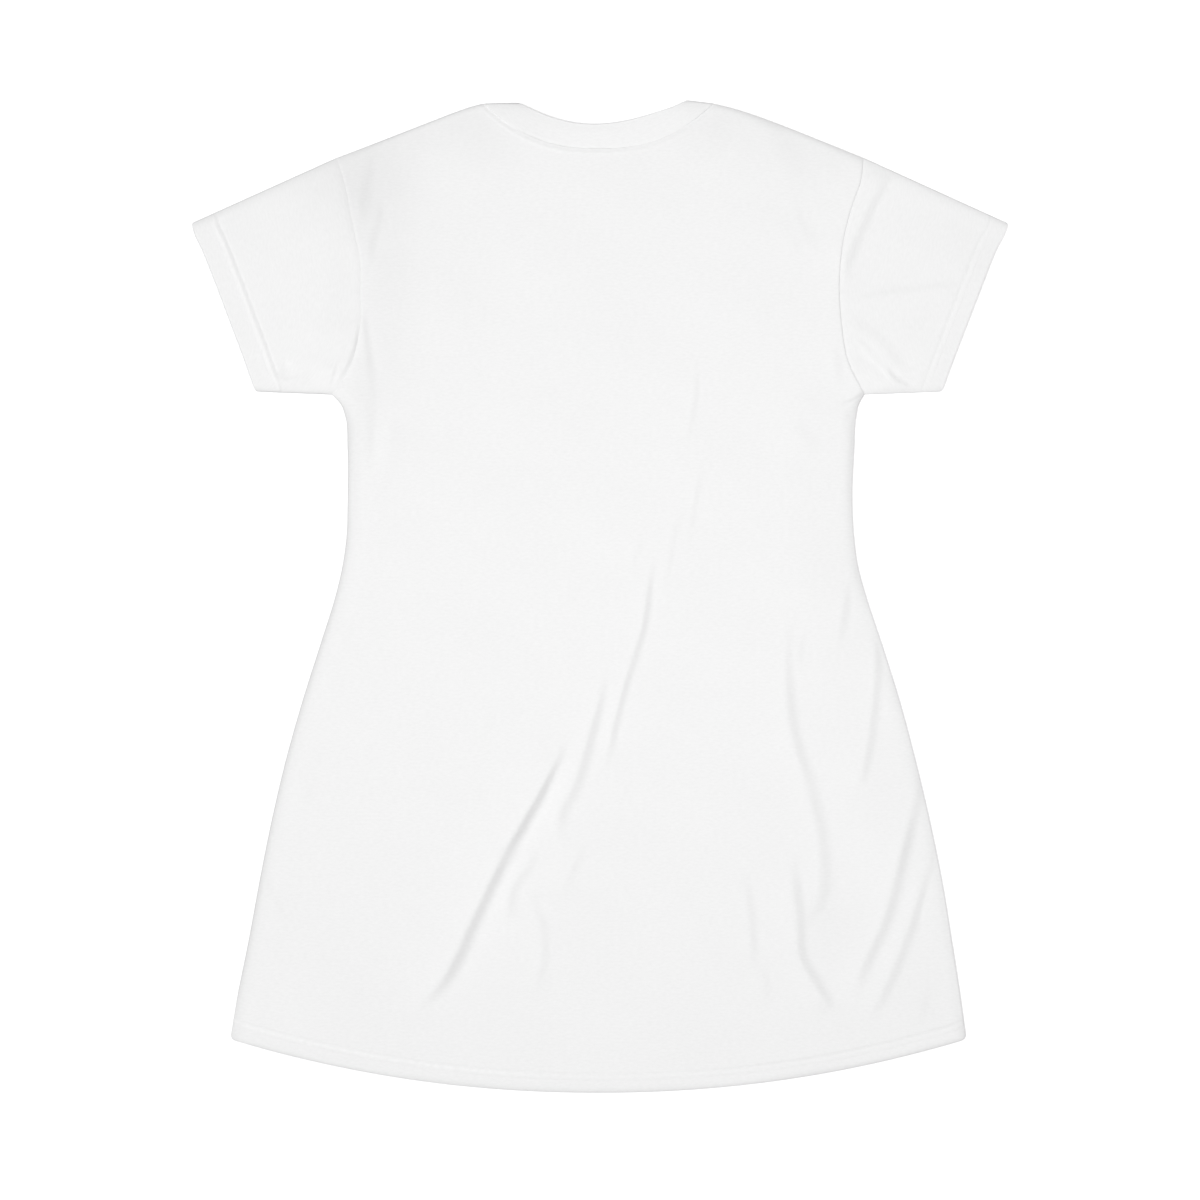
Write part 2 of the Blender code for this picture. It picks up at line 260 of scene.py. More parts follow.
armhole = {
    "down": metres([48.3, 70.4, 91.7, 114, 140, 170, 197.7, 217.3, 234.3, 246.7, 254.7, 259.2]),
    "left": metres([234.7, 227.6, 223.1, 218.7, 213.6, 213.3, 213.5, 216.9, 222.2, 229, 234, 239.2]),
    "right": metres([234.5, 231.7, 224.1, 218.1, 214.1, 213.1, 215.1, 217.7, 222.7, 228.9, 233.2, 235.6]),
    "front scoop": 0.006,  # how much further in the front is cut
}
side = {
    "down": metres([259.2, 266.3, 280.6, 304.6, 353.6, 384.8, 411.5, 438.2, 478.3, 531.7, 585.2, 638.6,
                    692.1, 745.5, 799, 825.7, 833.8]),
    "left": metres([239.2, 232.2, 226.6, 225, 224.9, 225.8, 229.4, 235.6, 248.1, 265, 280.1, 292.6, 303.3,
                    313.1, 323.8, 328.2, 329.6]),
    "right": metres([235.6, 231.4, 228.1, 226.7, 224.8, 226.3, 229.8, 237, 250.2, 267, 281.3, 293.9,
                     304.8, 313.6, 321.8, 325.4, 326.6]),
}
# each shoulder's curve: its height and how it starts and ends
shoulder = {"tip": armhole["down"][0], "left": (0.0028, 1.3, 10), "right": (0.0058, 1.0, 4)}
neck = {"middle": -0.0013, "half": 0.1022, "back depth": 0.0405, "back power": 2.5, "front depth": 0.105,
        "front power": 1.11, "rows": (0.0024, 0.0054), "ridge": 0.00035, "ridge wide": 0.0013}
hem = {"corner": side["down"][-1], "drop": 0.0476, "power": 2.08, "round": 0.005, "rows": (0.0128, 0.019),
       "ridge": 0.00035, "grooves": (0.0001, 0.0002), "creep": 0.0025, "creep across": (-0.25, 0.25)}
underarm = armhole["down"][-1]
seamGap = 0.00001

# Heights: of the fold between front and back, its gap and walls, and of the upper cloth above it
stack = {"fold": 0.0012, "wall": 0.001, "gap": 0.0003, "left lift": 0.0037, "right lift": 0.0029,
         "lift across": (-0.26, 0.26), "least lift": 0.0014, "low reach": 0.003}
foldTop = stack["fold"] + stack["gap"] / 2
# How the cloth rounds over each kind of edge. Just inside the edge it lies at the height, above the fold.
# The lip is the steep outermost part, as a share of that, and over the reach it comes up in full. Folds
# fade out over the calm. Shade is painted shade along the edge, how much its colour is darkened, and wide
# how far in that goes. Ledge is what a seam allowance adds, from the start and over the ledge's width.
edgeKind = namedtuple("edgeKind", "height lip reach calm shade wide ledge start ledgeWide",
                      defaults=(0.01, 0, 0.006, 0, 0.01, 0.01))
edges = {
    "left side": edgeKind(0.0033, 0.08, 0.011, 0.01, 0.058, 0.0062, 0.0007, 0.011, 0.009),
    "right side": edgeKind(0.0013, 0.05, 0.014, 0.0045),
    "left shoulder": edgeKind(0.0008, 0.04, 0.0055, 0.018, 0.02, 0.026),
    "right shoulder": edgeKind(0.001, 0.04, 0.009, 0.01, 0.014, 0.026),
    "hem": edgeKind(0.0015, 0.04, 0.009),
    "left sleeve top": edgeKind(0.0019, 0.05, 0.012, 0.026),
    "right sleeve top": edgeKind(0.0014, 0.05, 0.0112),
    "left underarm": edgeKind(0.0027, 0.1, 0.0085, 0.01, 0.022, 0.0055, 0.0004, 0.005, 0.008),
    "right underarm": edgeKind(0.0021, 0.06, 0.01, 0.01, 0.03, 0.0055),
}
# Past an edge's reach the cloth rises over the settle to its own lift. Beside an armhole, the panel's
# edges take after the sleeve's for the shared stretch.
edgeLook = {"lip reach": 0.0013, "settle": 0.06, "left shared": 0.05, "right shared": 0.024,
            "seam wide": 0.001}
# Along the seams, on the body and on the sleeve: how much painted shade darkens the colour at the seam,
# and each groove's depth and reach
seamLook = {
    "left armhole": (0.0, (0.0005, 0.003)), "left sleeve": (0.018, (0.0005, 0.0052)),
    "right armhole": (0.02, (0.0003, 0.0016)), "neck": (0.006, (0.00018, 0.0052)),
    "right sleeve": (0.016, (0.0001, 0.001), (0.0002, 0.006)),
}
edgeInsets = np.array([0.0, 0.0004, 0.001, 0.0018, 0.0028, 0.0038, 0.0048, 0.0058, 0.007, 0.0085])
armStep = 0.0037
# The armholes' points, which the panels and the sleeves share, so that their seams close
armLevels = np.concatenate([
    shoulder["tip"] + edgeInsets,
    spread(shoulder["tip"] + edgeInsets[-1], underarm - edgeInsets[-1], armStep)[1:],
    (underarm - edgeInsets[::-1])[1:],
])


def sideName(hand):
    return "left" if hand < 0 else "right"


def bodyEdge(down, hand):
    upper = curveThrough(down, armhole["down"], armhole[sideName(hand)])
    lower = curveThrough(down, side["down"], side[sideName(hand)])
    return hand * np.where(down < underarm, upper, lower)


def neckSeam(angle, name, gap=0.0):  # angle is 0 at the left shoulder and pi at the right
    c, s = np.cos(angle), np.maximum(0.0, np.sin(angle))
    depth, power = neck[name + " depth"] - gap, neck[name + " power"]
    if name == "back":  # it meets the shoulders at a slant
        return neck["middle"] - c * neck["half"], depth * (1 - np.abs(c) ** power)
    return neck["middle"] - np.sign(c) * np.abs(c) ** power * neck["half"], depth * s**power


def shoulderLine(share, hand):  # down at a share of the way from the shoulder's tip to the neck
    crown, start, end = shoulder[sideName(hand)]
    return mix(shoulder["tip"], 0.0, share) - crown * share**start * (1 - share**end)


def hemDrop(share):
    return hem["drop"] * (1 - np.abs(2 * share - 1) ** hem["power"])


# Creases, one row each, in millimetres: the path, height, width, fade in, fade out where it differs, and for
# some folds a factor by which they widen along the way. On a fold's right, going along its path, the cloth
# falls by the height within the width, steepest at the path, and from both sides it comes back slowly. A
# swell is a soft ridge, or a trough where its height is below 0.

creaseKind = namedtuple("creaseKind", "path height wide fadeIn fadeOut widen")


def crease(path, height, wide, fadeIn, fadeOut=None, widen=1.0):
    return creaseKind(metres(path), *metres([height, wide, fadeIn, fadeOut or fadeIn]), widen)


def creases(*rows):
    return [crease(*row) for row in rows]


skirtFolds = creases(
    # the long diagonal and the two above it
    ([(-24, 556), (-31, 572), (-53, 616), (-84, 671), (-108, 721), (-141, 786), (-168, 815)],
      7, 13, 75, 62, 1.55),
    ([(52, 398), (47, 417), (39, 467), (23, 519), (11, 569), (6, 600)], 2.4, 10, 55, 50),
    ([(8, 500), (4, 519), (-7, 562), (-23, 613), (-33, 633), (-37, 660)], 3.5, 12.5, 55, 35, 1.4),
    # its faint continuation upwards
    ([(76, 355), (70, 371), (62, 410), (56, 440)], 0.6, 7, 30),
    ([(95, 312), (92, 324), (83, 368), (79, 400)], 0.6, 7, 30),
    ([(87, 228), (85, 266), (76, 310)], 0.8, 7, 30),
    ([(42, 385), (31, 404), (26, 416)], 0.6, 7, 10),
    # small ones beside and below the diagonal
    ([(-52, 662), (-59, 675), (-74, 696), (-83, 732)], 2, 12, 22),
    ([(-61, 700), (-50, 735), (-49, 762), (-60, 800)], 1.3, 11, 30),
    ([(-12, 660), (-24, 684), (-34, 708)], 1.4, 11, 20),
    # the right of the skirt
    ([(172, 440), (168, 493), (173, 558), (190, 616), (200, 671), (199, 705), (184, 735)],
      2.5, 15, 110, 22, 1.35),
    ([(171, 660), (174.5, 695), (178.5, 730), (180.5, 760), (192.5, 781.5), (211, 812)], 2.9, 15, 55, 20),
    ([(127, 675), (135, 724), (138, 780)], 1.5, 11, 40),
    ([(145, 765), (148, 785), (150, 805)], 0.8, 8, 15),
    ([(292, 590), (286, 610), (274, 656), (255, 728), (233, 778), (226, 800)], 3.4, 17, 80, 45),
    ([(302, 660), (296, 677), (275, 742), (252, 796), (240, 816)], 2.4, 15, 50, 30),
    ([(248, 465), (247, 514), (239, 581), (231, 615)], 1.8, 13, 40, 25),
    ([(223, 418), (219, 450), (212, 490)], 1.4, 12, 32),
    ([(181, 465), (177, 507)], 0.8, 9, 18),
    ([(295, 780), (284, 824)], 0.6, 10, 20, 15),
    # the left flank
    ([(-210, 430), (-192, 457), (-188, 466)], 0.4, 8, 15),
    ([(-219, 458), (-230, 490)], 0.6, 8, 15, 12),
    ([(-207, 452), (-196, 485), (-184, 502)], 0.4, 8, 20),
    ([(-262, 598), (-256, 626)], 0.7, 7, 12),
    ([(-96, 536), (-107, 576)], 0.5, 6, 15),
    ([(-298, 682), (-293, 700), (-279, 724)], 0.9, 7, 15, 12),
)
# Round the armholes, where body and sleeve share them
armFolds = creases(
    # on the left, where the sleeve lies higher than the body
    ([(-240, -10), (-227, 42), (-220, 86), (-212, 122), (-206, 167)], 4.5, 60, 120, 70),
    ([(-200, 30), (-204, 53), (-208, 71), (-213, 110)], 2.2, 16, 30, 25),
    ([(-194, 84), (-197, 104), (-203, 124), (-205, 148)], 1.7, 10, 20),
    ([(-213, 190), (-218, 213), (-223, 229), (-231, 249)], 0.8, 8.5, 15, 10),
    ([(-210.5, 188), (-207, 213), (-204.5, 232), (-202, 258)], 1.6, 7.5, 10, 30),
    ([(-205, 220), (-201, 244), (-199, 263), (-201, 285), (-205, 319), (-208, 336)], 1.4, 20, 30, 35),
    ([(-216, 216), (-211, 265), (-212, 318)], 1.4, 30, 30, 35),
    ([(-212, 373), (-208, 357), (-205, 344), (-196, 325), (-191, 300), (-185, 278)], 2.6, 15, 30),
    ([(-232.5, 229), (-237, 240), (-239.5, 252)], 1.4, 4.5, 10, 8),
    ([(-215.5, 200), (-216.4, 208.6), (-219, 220.2), (-224.1, 231.9), (-230, 241.6), (-235, 251.3)],
      1, 5, 12, 10),
    # on the right sleeve
    ([(263, 61), (249, 80), (236, 106), (225, 132), (220, 147), (219, 164)], 2.6, 15, 20, 30),
    ([(224, 61), (215, 86)], 0.4, 10, 10, 12),
    ([(220, 184), (231, 175), (250, 169), (275, 166), (300, 162), (323, 155)], 1.3, 8.5, 20, 25),
    ([(220, 190), (230, 196), (243, 205), (252, 213), (262, 226), (280, 246)], 1.1, 15, 15, 25),
    ([(252.5, 236), (257, 239.6), (266.7, 247.6), (274, 251.5), (280, 253)], 1.6, 3, 10),
    ([(222, 226), (233, 233), (243, 237), (252, 246), (260, 252)], 0.8, 12, 10, 12),
    ([(221, 272), (218, 293)], 0.8, 12, 8, 12),  # below the right underarm
    # on the body beside the right armhole
    ([(209, 214), (212, 233), (213, 243), (211, 255)], 1, 12, 12),
    ([(171, 279), (180, 293), (188, 302), (197, 316)], 1, 18, 16, 18),
    ([(157, 97), (171, 119), (183, 143)], 0.6, 12, 18),
    ([(172, 83), (181, 110), (190, 124), (200, 137)], 0.8, 13, 20),
    ([(152, -20), (160, 20), (170, 50), (184, 85)], 1.8, 50, 20, 40),
)
armSwells = creases(
    ([(225.8, 208.4), (236.5, 220), (249.8, 233.4), (260.5, 242.3)], 0.5, 2, 12, 10),
    ([(-285, 232), (-273, 240)], -1.1, 5, 6),
    ([(-295, 242), (-278, 249), (-269, 247), (-254, 243)], 1.2, 3.5, 12),
    ([(-209, 192), (-206, 212), (-200, 266), (-203, 306), (-207, 330)], -0.5, 4, 30),
)
pinches = creases(  # at the right underarm, out to the very edge
    ([(235.6, 258.8), (224, 264), (216, 268.1), (213.5, 272.5)], -0.7, 1.4, 3, 14),
    ([(229, 269), (227.5, 279)], -0.2, 1.6, 4, 6),
    ([(222.5, 270), (221.5, 284)], -0.1, 2, 5, 6),
)
pinchPaintedShade = 115  # painted shade in a pinch's crease: how much its colour is darkened for each metre of its depth
# The hidden front's own creases, seen from below: the cloth stands off the floor along them
frontSwells = creases(
    ([(60, 300), (40, 420), (4, 560), (-10, 650)], 0.7, 11, 80),
    ([(-120, 520), (-150, 640), (-196, 790)], 0.7, 12, 80, 60),
    ([(120, 500), (150, 620), (166, 740)], 0.6, 12, 80, 60),
    ([(236, 560), (240, 660), (222, 780)], 0.6, 10, 60),
    ([(-30, 700), (-22, 780), (-34, 850)], 0.5, 9, 50, 40),
    ([(-190, 110), (-164, 200), (-170, 300)], 0.6, 12, 50, 60),
    ([(176, 120), (150, 210), (158, 300)], 0.5, 11, 50, 60),
    ([(-90, 130), (-20, 150), (70, 134)], 0.4, 10, 50),
    ([(-240, 120), (-290, 180)], 0.6, 10, 20),
    ([(240, 130), (296, 170)], 0.6, 10, 20),
)
# The slight unevenness of cloth that lies loose: (height, wavelength, heading in degrees, phase)
waves = [(0.00022, 0.15, 20, 0.4), (0.00018, 0.118, 75, 2.1), (0.00014, 0.094, -40, 4.0),
         (0.00012, 0.071, 105, 1.2)]

# How the cloth comes back from a fold, the share of its height that stands up on its left, and how narrow
# it is where it fades out
foldShape = {"left near share": 0.68, "right near share": 0.38, "near reach": 0.012, "far reach": 0.05,
             "left share": 0.66, "narrow": 0.58}


def turned(x, down, heading):  # how far a place lies along a heading, and how far to the right of it
    ex, ed = heading
    return x * ex + down * ed, x * ed - down * ex


def towards(degrees):
    return math.cos(math.radians(degrees)), math.sin(math.radians(degrees))


def foldPlace(path, x, down):
    # how far to the right of the path a place is, how far along it, and the path's length
    start, chord = path[0], path[-1] - path[0]
    length = np.hypot(*chord)
    along, off = turned(x - start[0], down - start[1], chord / length)
    if len(path) > 2:
        off = off - curveThrough(along, *turned(*(path - start).T, chord / length))
    return off, along, length


def fading(along, length, fadeIn, fadeOut):
    return smooth(along / fadeIn) * smooth((length - along) / fadeOut)


def foldHeight(row, x, down):
    off, along, length = foldPlace(row.path, x, down)
    strength = fading(along, length, row.fadeIn, row.fadeOut)
    core = row.wide * mix(foldShape["narrow"], 1.0, strength) * mix(1.0, row.widen, smooth(along / length))
    u = np.clip(off / core + 1 / 3, 0.0, 1.0)  # it is steepest a third of the way across, on the path
    step = u * u * (6 - 8 * u + 3 * u * u)
    away = np.sqrt(off * off + core * core / 9) - core / 3
    near = np.exp(-away / foldShape["near reach"])
    far = np.exp(-away / foldShape["far reach"])
    back = mix(far, near, np.where(off < 0, foldShape["left near share"], foldShape["right near share"]))
    left = foldShape["left share"]
    return row.height * strength * back * (left * (1 - step) - (1 - left) * step)


def swellHeight(row, x, down):
    off, along, length = foldPlace(row.path, x, down)
    return row.height * fading(along, length, row.fadeIn, row.fadeOut) * bell(off, row.wide)


def relief(x, down):
    heights = [foldHeight(row, x, down) for row in armFolds + skirtFolds]
    heights += [swellHeight(row, x, down) for row in armSwells]
    for height, wavelength, heading, phase in waves:
        along = turned(x, down, towards(heading))[0]
        heights.append(height * np.sin(along * 2 * np.pi / wavelength + phase))
    return sum(heights)


# Broad soft patches of painted shade that deepen the cloth's colour, or of painted light where the amount
# is below 0: x, down, width and length in millimetres, the long side's heading in degrees from x towards
# down, and the amount
paintedShadePatches = [
    (-205, 62, 42, 52, 90, 0.056),
    (-188, 170, 26, 100, 92, 0.036),
    (-252, 88, 26, 36, 60, 0.022),
    (-216, 280, 14, 70, 92, 0.022),
    (-232, 150, 14, 70, 95, 0.018),
    (290, 180, 60, 90, 70, 0.01),
    (-105, 30, 28, 40, 60, 0.014),
    (104, 26, 12, 26, 125, 0.014),
    (0, 160, 190, 120, 0, 0.007),
    (145, 100, 34, 65, 80, 0.012),
    (200, 742, 34, 46, 90, 0.022),
    (-285, 815, 50, 50, 0, -0.012),
    (150, 690, 200, 100, 0, 0.006),
    (228, 205, 14, 45, 85, 0.014),
    (-124, 155, 30, 110, 90, 0.009),
    (0, 700, 100, 50, 0, 0.006),
]


def paintedShadeAt(x, down):
    total = 0
    for *sizes, heading, amount in paintedShadePatches:
        atX, atDown, wide, long = metres(sizes)
        along, across = turned(x - atX, down - atDown, towards(heading))
        total = total + amount * bell(along, long) * bell(across, wide)
    return total


def hollow(x, down):
    return sum(swellHeight(row, x, down) for row in frontSwells)


def upperHeight(x, down, lines, toSeams, extra):
    # the upper cloth's height above the fold's, and the painted shade and light in its colour
    share, shade, ledge = np.zeros((3, *x.shape))
    calm = np.ones(x.shape)
    lift = mix(stack["left lift"], stack["right lift"], ramp(x, *stack["lift across"]))
    for kind, line in lines:
        away = distanceTo(x, down, line)
        calm = calm * smooth(away / kind.calm)
        lip = 1 - rounded(away, edgeLook["lip reach"])
        share = np.maximum(share, mix(np.clip(1 - away / kind.reach, 0, 1) ** 3, lip, kind.lip))
        shade = np.maximum(shade, kind.shade * bell(away, kind.wide))
        ledge = ledge + kind.ledge * smooth((away - kind.start) / kind.ledgeWide)
        lift = mix(kind.height, lift, smooth(away / edgeLook["settle"]))
    lift = lift + ledge + relief(x, down) * calm + extra
    lift = np.maximum(lift, stack["least lift"])
    for row in pinches:
        depth = swellHeight(row, x, down)
        lift, shade = lift + depth, shade - pinchPaintedShade * depth
    for name, away in toSeams:
        darker, *cuts = seamLook[name]
        for depth, reach in cuts:
            lift = lift - depth * np.clip(1 - away / reach, 0, 1) ** 2
        # painted shade along the seam line
        shade = shade + darker * bell(away, edgeLook["seam wide"])
    return lift * (1 - share), shade + paintedShadeAt(x, down)


# Along every stitched hem: the grooves, the second layer and how softly it starts, and the rows below
hemShape = {"groove wide": 0.0011, "layer": 0.00015, "layer reach": 0.002, "low rise": 0.0003,
            "low wide": 0.0014}


def hemRidge(away, rows, ridge, grooves):
    # the cloth stands up between the two stitched rows, which are drawn down
    middle, half = (rows[0] + rows[1]) / 2, (rows[1] - rows[0]) / 2
    height = ridge * np.cos(np.pi / 2 * np.clip((away - middle) / half, -1, 1)) ** 2
    for place, depth in zip(rows, grooves):
        height = height - depth * bell(away - place, hemShape["groove wide"])
    return height + hemShape["layer"] * smooth((rows[1] - away) / hemShape["layer reach"] + 0.5)


def lowRidge(away, rows):
    return sum(hemShape["low rise"] * bell(away - place, hemShape["low wide"]) for place in rows)


def layThread(name, points, distance, wanted, trim):
    # a row's line: in each column, the place at the wanted distance from the first row of points
    line = [[np.interp(wanted, distance[:, j], points[:, j, k]) for k in range(3)]
            for j in range(points.shape[1])]
    threadRows[name].append(line[trim:-trim])


def thicken(obj):
    wall = obj.modifiers.new("wall", "SOLIDIFY")
    wall.thickness = stack["wall"]
    wall.offset = -1.0
    wall.use_even_offset = False
    wall.use_rim = True
    return obj


# The two panels

# Below "even below" the columns stand evenly, but folds draw them together, in full from the height "draw
# full". Rows are finer in the two zones. Threads are searched for in some rows and trimmed by some columns.
panelSize = {"even below": 0.32, "draw": 2.2, "draw reach": 0.012, "draw full": 0.002, "samples": 700,
             "underarm zone": 0.012, "underarm step": 0.0015, "hem zone": 0.024, "hem step": 0.0012,
             "hem search": slice(None, -40, -1), "neck search": slice(0, 20), "hem trim": 7, "neck trim": 1}
backMesh = {"shoulder": 50, "neck": 84, "step": 0.004}
frontMesh = {"shoulder": 26, "neck": 60, "step": 0.0065}
threadRows = {name: [] for name in ("backHem", "frontHem", "neck", "leftCuff", "rightCuff")}


def panelPlan(name, scoop, folds, size):
    # Rows run from shoulder to hem and columns from left to right. Columns are drawn towards the folds.
    tip, corner, below = shoulder["tip"], hem["corner"], panelSize["even below"]
    zone, stitchTop = underarm + panelSize["underarm zone"], corner - panelSize["hem zone"]
    levels = np.concatenate([
        armLevels,
        spread(underarm, zone, panelSize["underarm step"])[1:],
        spread(zone, stitchTop, size["step"])[1:],
        spread(stitchTop, corner - edgeInsets[-1], panelSize["hem step"])[1:],
        corner - edgeInsets[-2::-1],
    ])
    tipX, inset, count = armhole["left"][0], edgeInsets[-1], size["shoulder"]
    neckLeft, neckRight = neck["middle"] - neck["half"], neck["middle"] + neck["half"]
    neckX, neckDown = neckSeam(np.linspace(0, np.pi, size["neck"]), name)
    leftX = np.concatenate([edgeInsets - tipX, np.linspace(inset - tipX, neckLeft, count)[1:-1]])
    rightX = np.concatenate([np.linspace(neckRight, tipX - inset, count)[1:-1], tipX - edgeInsets[::-1]])
    toNeck, toTip = (leftX + tipX) / (neckLeft + tipX), (rightX - neckRight) / (tipX - neckRight)
    topX = np.concatenate([leftX, neckX, rightX])
    rise = np.concatenate([shoulderLine(toNeck, -1), neckDown, shoulderLine(1 - toTip, 1)]) - tip
    inner = slice(len(edgeInsets), len(topX) - len(edgeInsets))
    neckColumns = slice(len(leftX), len(leftX) + len(neckX))

    level = levels[:, None]
    cut = scoop * np.where(level < underarm, np.sin(np.pi * (level - tip) / (underarm - tip)), 0.0)
    left, right = bodyEdge(level, -1) + cut, bodyEdge(level, 1) - cut
    even, fadeHem = ramp(level, tip, below), ramp(level, below, corner)

    # the columns near the top: the neck's go straight down and the shoulders' follow the armholes
    x = np.repeat(topX[None, :], len(levels), axis=0)
    x[:, :len(leftX)] = mix(left, neckLeft, toNeck)
    x[:, neckColumns.stop:] = mix(neckRight, right, toTip)

    # the columns further down: closer together across the folds
    fineX = mix(left + inset, right - inset, np.linspace(0, 1, panelSize["samples"]))
    fineDown = level + hemDrop((fineX - left) / (right - left)) * fadeHem
    density = np.ones(fineX.shape)
    for row in folds:
        off, along, length = foldPlace(row.path, fineX, fineDown)
        near = bell(off, panelSize["draw reach"])
        weight = min(1.0, row.height / panelSize["draw full"])
        density += panelSize["draw"] * weight * near * fading(along, length, row.fadeIn, row.fadeOut)
    total = np.cumsum(density, axis=1)
    total = (total - total[:, :1]) / (total[:, -1:] - total[:, :1])
    within = inner.stop - inner.start
    wanted = np.arange(1, within + 1) / (within + 1)
    drawn = np.array([np.interp(wanted, *rows) for rows in zip(total, fineX)])
    x[:, inner] = mix(x[:, inner], drawn, even)
    x[:, :inner.start] = left + edgeInsets
    x[:, inner.stop:] = right - edgeInsets[::-1]

    inwards, upwards = cornerCuts(np.minimum(x - left, right - x), corner - level, hem["round"])
    x = x + np.where(x < 0, inwards, -inwards)
    down = level - upwards + rise[None, :] * (1 - even) + hemDrop((x - left) / (right - left)) * fadeHem
    return x, down, levels, neckColumns


every = slice(None)


def rim(x, down, rows, columns):  # a row or column of the mesh's places
    return list(zip(x[rows, columns].ravel(), down[rows, columns].ravel()))


def toRim(x, down, rows, columns):
    return distanceTo(x, down, rim(x, down, rows, columns))


def layHem(name, points, toHem):
    for place in hem["rows"]:
        low = panelSize["hem search"]
        layThread(name, points[low], toHem[low], place, panelSize["hem trim"])


def panelLines(x, down, levels, neckColumns):
    # its folded or loose edges, and the distances to its seams with the sleeves and the band, and to the
    # hem as its stitched rows follow it
    low, high = levels >= underarm - 1e-6, levels <= underarm + 1e-6
    hemLine = rim(x, down, -1, every)
    loose = [
        ("left shoulder", rim(x, down, 0, slice(0, neckColumns.start + 1))),
        ("right shoulder", rim(x, down, 0, slice(neckColumns.stop - 1, None))),
        ("left side", rim(x, down, low, 0)),
        ("right side", rim(x, down, low, -1)),
        ("hem", hemLine),
    ]
    seams = [
        ("left armhole", toRim(x, down, high, 0)),
        ("right armhole", toRim(x, down, high, -1)),
        ("neck", toRim(x, down, 0, neckColumns)),
    ]
    toHem = distanceTo(x, down, hemLine) + hem["creep"] * ramp(x, *hem["creep across"])
    return loose, seams, toHem


def edgeKinds(loose, seams):  # the panel's edges take after the sleeves' beside the armholes
    kinds = []
    for name, line in loose:
        kind = edges[name]
        hand, _, place = name.partition(" ")
        beside = {"shoulder": hand + " sleeve top", "side": hand + " underarm"}.get(place)
        if beside:
            away = dict(seams)[hand + " armhole"]
            share = 1 - smooth(away / edgeLook[hand + " shared"])
            kind = edgeKind(*(mix(own, other, share) for own, other in zip(kind, edges[beside])))
        kinds.append((kind, line))
    return kinds


# Painted shade and painted highlight along the hem, which change over two stretches of x: painted shade at
# the inner row in the middle and at the right, and at the outer row, and painted highlight between the rows,
# plain at the right and at the left broken into spots like lit puckers
hemPaintedShading = {"left": (-0.03, -0.11), "right": (0.06, 0.18), "inner": (0.006, 0.042), "outer": 0.006,
            "between": (-0.012, -0.032), "pucker": 0.014, "pucker length": 0.0097, "sway": 2.5,
            "sway length": 0.052, "row wide": 0.0012, "between wide": 0.0018}


def hemPaintedShadingAt(toHem, x):  # painted highlight between the rows, and painted shade along them
    left, right = ramp(x, *hemPaintedShading["left"]), ramp(x, *hemPaintedShading["right"])
    sway = hemPaintedShading["sway"] * np.sin(x * 2 * np.pi / hemPaintedShading["sway length"])
    puckers = hemPaintedShading["pucker"] * np.sin(x * 2 * np.pi / hemPaintedShading["pucker length"] + sway)
    flat, puckered = hemPaintedShading["between"]
    outer, inner = (bell(toHem - place, hemPaintedShading["row wide"]) for place in hem["rows"])
    between = bell(toHem - sum(hem["rows"]) / 2, hemPaintedShading["between wide"])
    return (mix(*hemPaintedShading["inner"], right) * inner + hemPaintedShading["outer"] * outer
            + mix(flat, puckered - puckers, left) * between)


def buildBack():
    x, down, levels, neckColumns = panelPlan("back", 0.0, skirtFolds, backMesh)
    loose, seams, toHem = panelLines(x, down, levels, neckColumns)
    toNeck = dict(seams)["neck"]
    extra = hemRidge(toHem, hem["rows"], hem["ridge"], hem["grooves"])
    extra = extra + neck["ridge"] * bell(toNeck - sum(neck["rows"]) / 2, neck["ridge wide"])
    height, shade = upperHeight(x, down, edgeKinds(loose, seams), seams, extra)
    points = onGround(x, down, foldTop + height)
    layHem("backHem", points, toHem)
    high = (panelSize["neck search"], neckColumns)
    layThread("neck", points[high], toNeck[high], neck["rows"][0], panelSize["neck trim"])
    grain = np.stack([x, down], axis=-1)
    return thicken(gridMesh("backPanel", points, grain, shade + hemPaintedShadingAt(toHem, x), flip=True))


def buildFront():
    x, down, levels, neckColumns = panelPlan("front", armhole["front scoop"], [], frontMesh)
    loose, seams, toHem = panelLines(x, down, levels, neckColumns)
    nearest = [distanceTo(x, down, line) for _, line in loose] + [away for _, away in seams]
    edge = rounded(np.minimum.reduce(nearest), stack["low reach"])
    z = (stack["fold"] - stack["gap"] / 2) * (1 - edge) + hollow(x, down) * edge
    points = onGround(x, down, z + lowRidge(toHem, hem["rows"]))
    layHem("frontHem", points, toHem)
    return thicken(gridMesh("frontPanel", points, np.stack([x, down], axis=-1)))


backPanel = buildBack()
frontPanel = buildFront()
print("panels made:", len(backPanel.data.polygons), len(frontPanel.data.polygons), "faces")


# The sleeves, flattened tubes from the armholes to the cuffs

